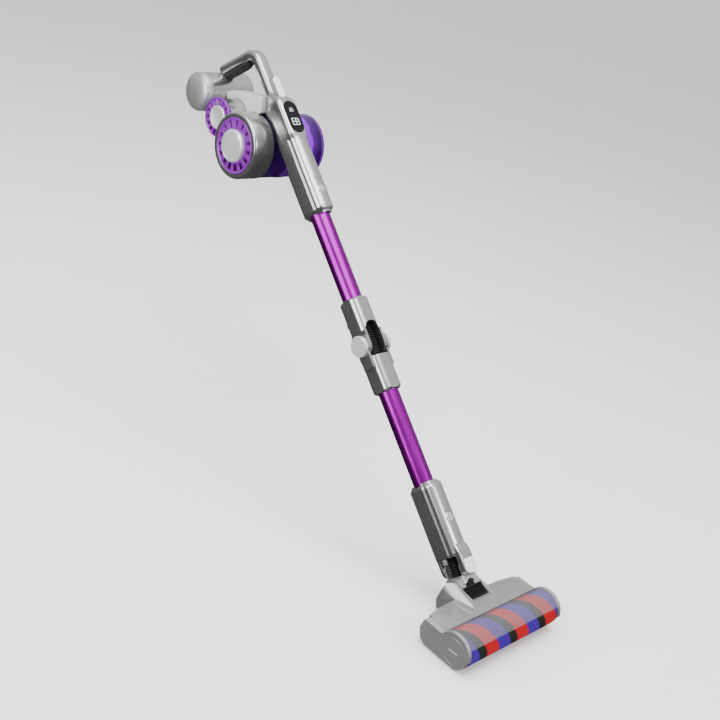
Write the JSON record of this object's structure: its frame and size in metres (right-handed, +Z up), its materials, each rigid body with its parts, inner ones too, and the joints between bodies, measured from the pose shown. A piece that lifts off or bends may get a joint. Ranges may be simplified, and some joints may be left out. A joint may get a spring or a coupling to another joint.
{
  "type": "cordless stick vacuum",
  "caption": "Upright cordless stick vacuum with a folding wand, a handheld body with dust cup, battery and display, and a floor head with a soft roller.",
  "frame": {"origin": "on the floor under the middle of the floor head's felt strip, behind the roller", "axes": "+Z up, -Y the way the floor head points, +X across the head; the wand leans back 48.56 degrees from vertical towards +Y"},
  "size_m": [0.25, 1.0352, 0.7526],
  "materials": {
    "silver_shell": "silver metallic lacquer over moulded plastic",
    "silver_satin": "satin silver lacquer",
    "silver_button": "bright silver lacquer",
    "light_grey": "fine-grain light grey",
    "soft_black": "soft matt black",
    "black_gloss": "polished black",
    "display_glass": "tinted polished window",
    "board_green": "circuit board",
    "dark_grey": "moulded dark grey",
    "white_button": "polished white",
    "purple_trim": "polished purple",
    "spun_metal": "spun with fine circular lines",
    "filter_paper": "pleated fibre",
    "motor_metal": "cast casing",
    "violet_clear": "clear violet",
    "violet_dark": "deep violet",
    "cell_wrap": "wrapped cells",
    "magenta_tube": "anodised magenta",
    "hose_rubber": "corrugated black",
    "steel": "turned pins",
    "felt": "felt",
    "smoke_clear": "clear smoke tint",
    "roller_tube": "moulded tube",
    "roller_pile": "soft pile in spiral red, indigo and dark bands"
  },
  "bodies": {
    "handheld": {"neck_shell": "silver_shell", "handle_frame": "silver_shell", "grip_pad": "soft_black", "display_bezel": "black_gloss", "display_window": "display_glass", "display_board": "board_green", "button_housing": "dark_grey", "drum_shell": "silver_shell", "exhaust_ring": "purple_trim", "drum_cap": "spun_metal", "hepa_filter": "filter_paper", "fan_motor": "motor_metal", "dust_cup": "violet_clear", "cyclone_core": "dark_grey", "pod_shell": "silver_shell", "pod_ring": "purple_trim", "pod_cap": "spun_metal", "control_board": "board_green", "battery_sleeve": "silver_shell", "bridge_cover": "light_grey", "upper_tube": "magenta_tube", "elbow_upper": "silver_shell", "elbow_hose": "hose_rubber"},
    "power_switch": {"power_button": "white_button"},
    "wand_release": {"wand_release_button": "silver_button"},
    "fan_wheel": {"fan": "dark_grey"},
    "cup_door": {"cup_lid": "violet_dark"},
    "door_catch": {"lid_catch": "violet_clear"},
    "battery_pack": {"battery_cap": "silver_satin", "battery_case": "dark_grey", "battery_cells": "cell_wrap"},
    "battery_latch": {"battery_release": "dark_grey"},
    "fold_lever": {"fold_release_lever": "dark_grey"},
    "lower_wand": {"elbow_lower": "silver_shell", "hinge_pins": "steel", "hinge_caps": "spun_metal", "lower_tube": "magenta_tube", "connector_shell": "silver_shell", "swivel_cap": "white_button", "swivel_pins": "steel", "neck_hose": "hose_rubber"},
    "head_release": {"head_release_button": "silver_button"},
    "neck": {"neck_yoke": "silver_satin"},
    "head": {"head_cover": "silver_shell", "head_base": "dark_grey", "pivot_pins": "steel", "end_cap_left": "silver_satin", "end_cap_right": "silver_satin", "hood": "smoke_clear", "brush_motor": "motor_metal", "felt_strip": "felt", "wheel_axles": "steel", "neck_bellows": "hose_rubber"},
    "lock_cap": {"roller_lock_cap": "silver_satin"},
    "roller": {"roller_core": "roller_tube", "roller_pile": "roller_pile"},
    "right_wheel": {"wheel_right": "soft_black"},
    "left_wheel": {"wheel_left": "soft_black"}
  },
  "joints": [
    {"name": "power_press", "type": "slide", "parent": "handheld", "child": "power_switch", "axis": [0, 0.6618, -0.7496], "range_m": [0, 0.0015], "stiffness_N_per_m": 400, "springref_m": -0.002},
    {"name": "wand_release_press", "type": "slide", "parent": "handheld", "child": "wand_release", "axis": [0, 0.6618, -0.7496], "range_m": [0, 0.0018], "stiffness_N_per_m": 400, "springref_m": -0.002},
    {"name": "fan_spin", "type": "hinge", "parent": "handheld", "child": "fan_wheel", "pos_m": [-0.03, 0.77761, 0.58646], "axis": [1, 0, 0], "continuous": true},
    {"name": "lid_open", "type": "hinge", "parent": "handheld", "child": "cup_door", "pos_m": [0.1101, 0.82709, 0.63014], "axis": [0, -0.6618, 0.7496], "range_deg": [0, 90]},
    {"name": "lid_catch_slide", "type": "slide", "parent": "handheld", "child": "door_catch", "axis": [-1, 0, 0], "range_m": [0, 0.004], "stiffness_N_per_m": 300, "springref_m": -0.002},
    {"name": "battery_slide", "type": "slide", "parent": "handheld", "child": "battery_pack", "axis": [-1, 0, 0], "range_m": [0, 0.09]},
    {"name": "battery_release_press", "type": "slide", "parent": "handheld", "child": "battery_latch", "axis": [0, -0.7496, -0.6618], "range_m": [0, 0.0015], "stiffness_N_per_m": 400, "springref_m": -0.002},
    {"name": "fold_lever_press", "type": "hinge", "parent": "handheld", "child": "fold_lever", "pos_m": [0, 0.43593, 0.3623], "axis": [1, 0, 0], "range_deg": [0, 4], "stiffness_Nm_per_rad": 1, "springref_deg": -5.73},
    {"name": "elbow_fold", "type": "hinge", "parent": "handheld", "child": "lower_wand", "pos_m": [0, 0.38102, 0.35197], "axis": [-1, 0, 0], "range_deg": [0, 90], "deforming": ["elbow_hose"]},
    {"name": "head_release_press", "type": "slide", "parent": "lower_wand", "child": "head_release", "axis": [0, 0.6618, -0.7496], "range_m": [0, 0.0018], "stiffness_N_per_m": 400, "springref_m": -0.002},
    {"name": "head_swivel", "type": "hinge", "parent": "lower_wand", "child": "neck", "pos_m": [0, 0.06749, 0.0725], "axis": [0, -0.6618, 0.7496], "range_deg": [-40, 40], "deforming": ["neck_hose"]},
    {"name": "head_pitch", "type": "hinge", "parent": "neck", "child": "head", "pos_m": [0, 0.042, 0.05], "axis": [1, 0, 0], "range_deg": [-43, 35], "deforming": ["neck_bellows"]},
    {"name": "roller_spin", "type": "hinge", "parent": "head", "child": "roller", "pos_m": [0, -0.0504, 0.0313], "axis": [1, 0, 0], "continuous": true},
    {"name": "lock_cap_turn", "type": "hinge", "parent": "head", "child": "lock_cap", "pos_m": [-0.1234, -0.0504, 0.0313], "axis": [1, 0, 0], "range_deg": [0, 45]},
    {"name": "right_wheel_spin", "type": "hinge", "parent": "head", "child": "right_wheel", "pos_m": [0.07, 0.017, 0.008], "axis": [1, 0, 0], "continuous": true},
    {"name": "left_wheel_spin", "type": "hinge", "parent": "head", "child": "left_wheel", "pos_m": [-0.07, 0.017, 0.008], "axis": [1, 0, 0], "continuous": true}
  ]
}
